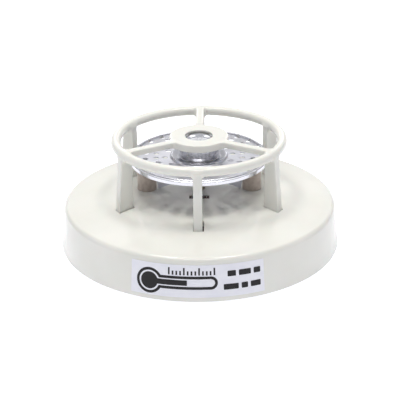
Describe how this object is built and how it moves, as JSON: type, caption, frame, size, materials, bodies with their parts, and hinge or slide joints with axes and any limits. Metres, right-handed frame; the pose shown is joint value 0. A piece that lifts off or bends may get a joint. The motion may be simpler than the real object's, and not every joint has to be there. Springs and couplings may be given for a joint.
{
  "type": "heat detector",
  "caption": "Round off-white mechanical heat detector with an open guard cage over a perforated heat collector, a soldered plunger, terminals and a twist-lock bracket.",
  "frame": {"origin": "centre of the rear face that meets the ceiling or wall", "axes": "+Z out of the rear face towards the guard cage, -Y towards the rating label"},
  "size_m": [0.116, 0.116, 0.0467],
  "materials": {
    "moulded_plastic": "off-white moulded, semi-gloss",
    "label_stock": "pale sticker with dark print",
    "collector_sheet": "spun and perforated, satin",
    "bright_plate": "bright nickel plate",
    "fusible_alloy": "dull grey solder",
    "brass": "turned",
    "plain_steel": "zinc plated",
    "spring_steel": "drawn wire",
    "black_plastic": "moulded insulator",
    "grey_plastic": "moulded, warm grey",
    "bridge_sheet": "stamped, satin",
    "phenolic": "moulded brown insulating plate",
    "seal_rubber": "die-cut",
    "spun_aluminium": "satin",
    "spring_bronze": "rolled spring strip",
    "contact_silver": "silver",
    "white_insulator": "moulded",
    "galvanised_steel": "galvanised sheet"
  },
  "bodies": {
    "detector": {"housing": "moulded_plastic", "guard_cage": "moulded_plastic", "rating_label": "label_stock", "plunger_spring": "spring_steel", "bridge_posts": "grey_plastic", "guide_bridge": "bridge_sheet", "guide_bush": "brass", "bridge_screws": "plain_steel", "terminal_base": "phenolic", "base_gasket": "seal_rubber", "base_screws": "plain_steel", "air_chamber": "spun_aluminium", "vent_plug": "brass", "diaphragm": "spring_bronze", "diaphragm_ring": "spun_aluminium", "terminal_strips": "brass", "fixed_contacts": "contact_silver", "terminal_screws": "plain_steel", "terminal_clamps": "plain_steel", "contact_card": "phenolic"},
    "collector": {"heat_collector": "collector_sheet", "solder_cup": "bright_plate", "cup_button": "bright_plate", "solder_ring": "fusible_alloy"},
    "plunger": {"plunger_stem": "brass", "plunger_collar": "plain_steel", "plunger_tip": "black_plastic"},
    "fixed_temp_arm": {"fixed_temp_blade": "spring_bronze", "fixed_temp_contact": "contact_silver"},
    "rate_arm": {"rate_blade": "spring_bronze", "rate_contact": "contact_silver"},
    "diaphragm_centre": {"diaphragm_button": "white_insulator"},
    "bracket": {"mounting_bracket": "galvanised_steel"}
  },
  "joints": [
    {"name": "collector_drop", "type": "slide", "parent": "detector", "child": "collector", "axis": [0, 0, 1], "range_m": [0, 0.0013]},
    {"name": "plunger_release", "type": "slide", "parent": "detector", "child": "plunger", "axis": [0, 0, -1], "range_m": [0, 0.0016], "deforming": ["plunger_spring"]},
    {"name": "fixed_temp_flex", "type": "hinge", "parent": "detector", "child": "fixed_temp_arm", "pos_m": [-0.013, 0, 0.01264], "axis": [0, 1, 0], "range_deg": [0, 7.2]},
    {"name": "diaphragm_press", "type": "slide", "parent": "detector", "child": "diaphragm_centre", "axis": [0, 0, -1], "range_m": [0, 0.0005], "stiffness_N_per_m": 60, "deforming": ["diaphragm"]},
    {"name": "rate_flex", "type": "hinge", "parent": "detector", "child": "rate_arm", "pos_m": [-0.012, 0.0175, 0.01115], "axis": [0, 1, 0], "range_deg": [0, 2.45]},
    {"name": "bracket_twist", "type": "hinge", "parent": "detector", "child": "bracket", "pos_m": [0, 0, 0], "axis": [0, 0, 1], "range_deg": [-24, 0]}
  ],
  "couplings": [
    {"joint": "fixed_temp_flex", "follows": "plunger_release", "rad_per_m": 76.923},
    {"joint": "rate_flex", "follows": "diaphragm_press", "rad_per_m": 83.333}
  ]
}
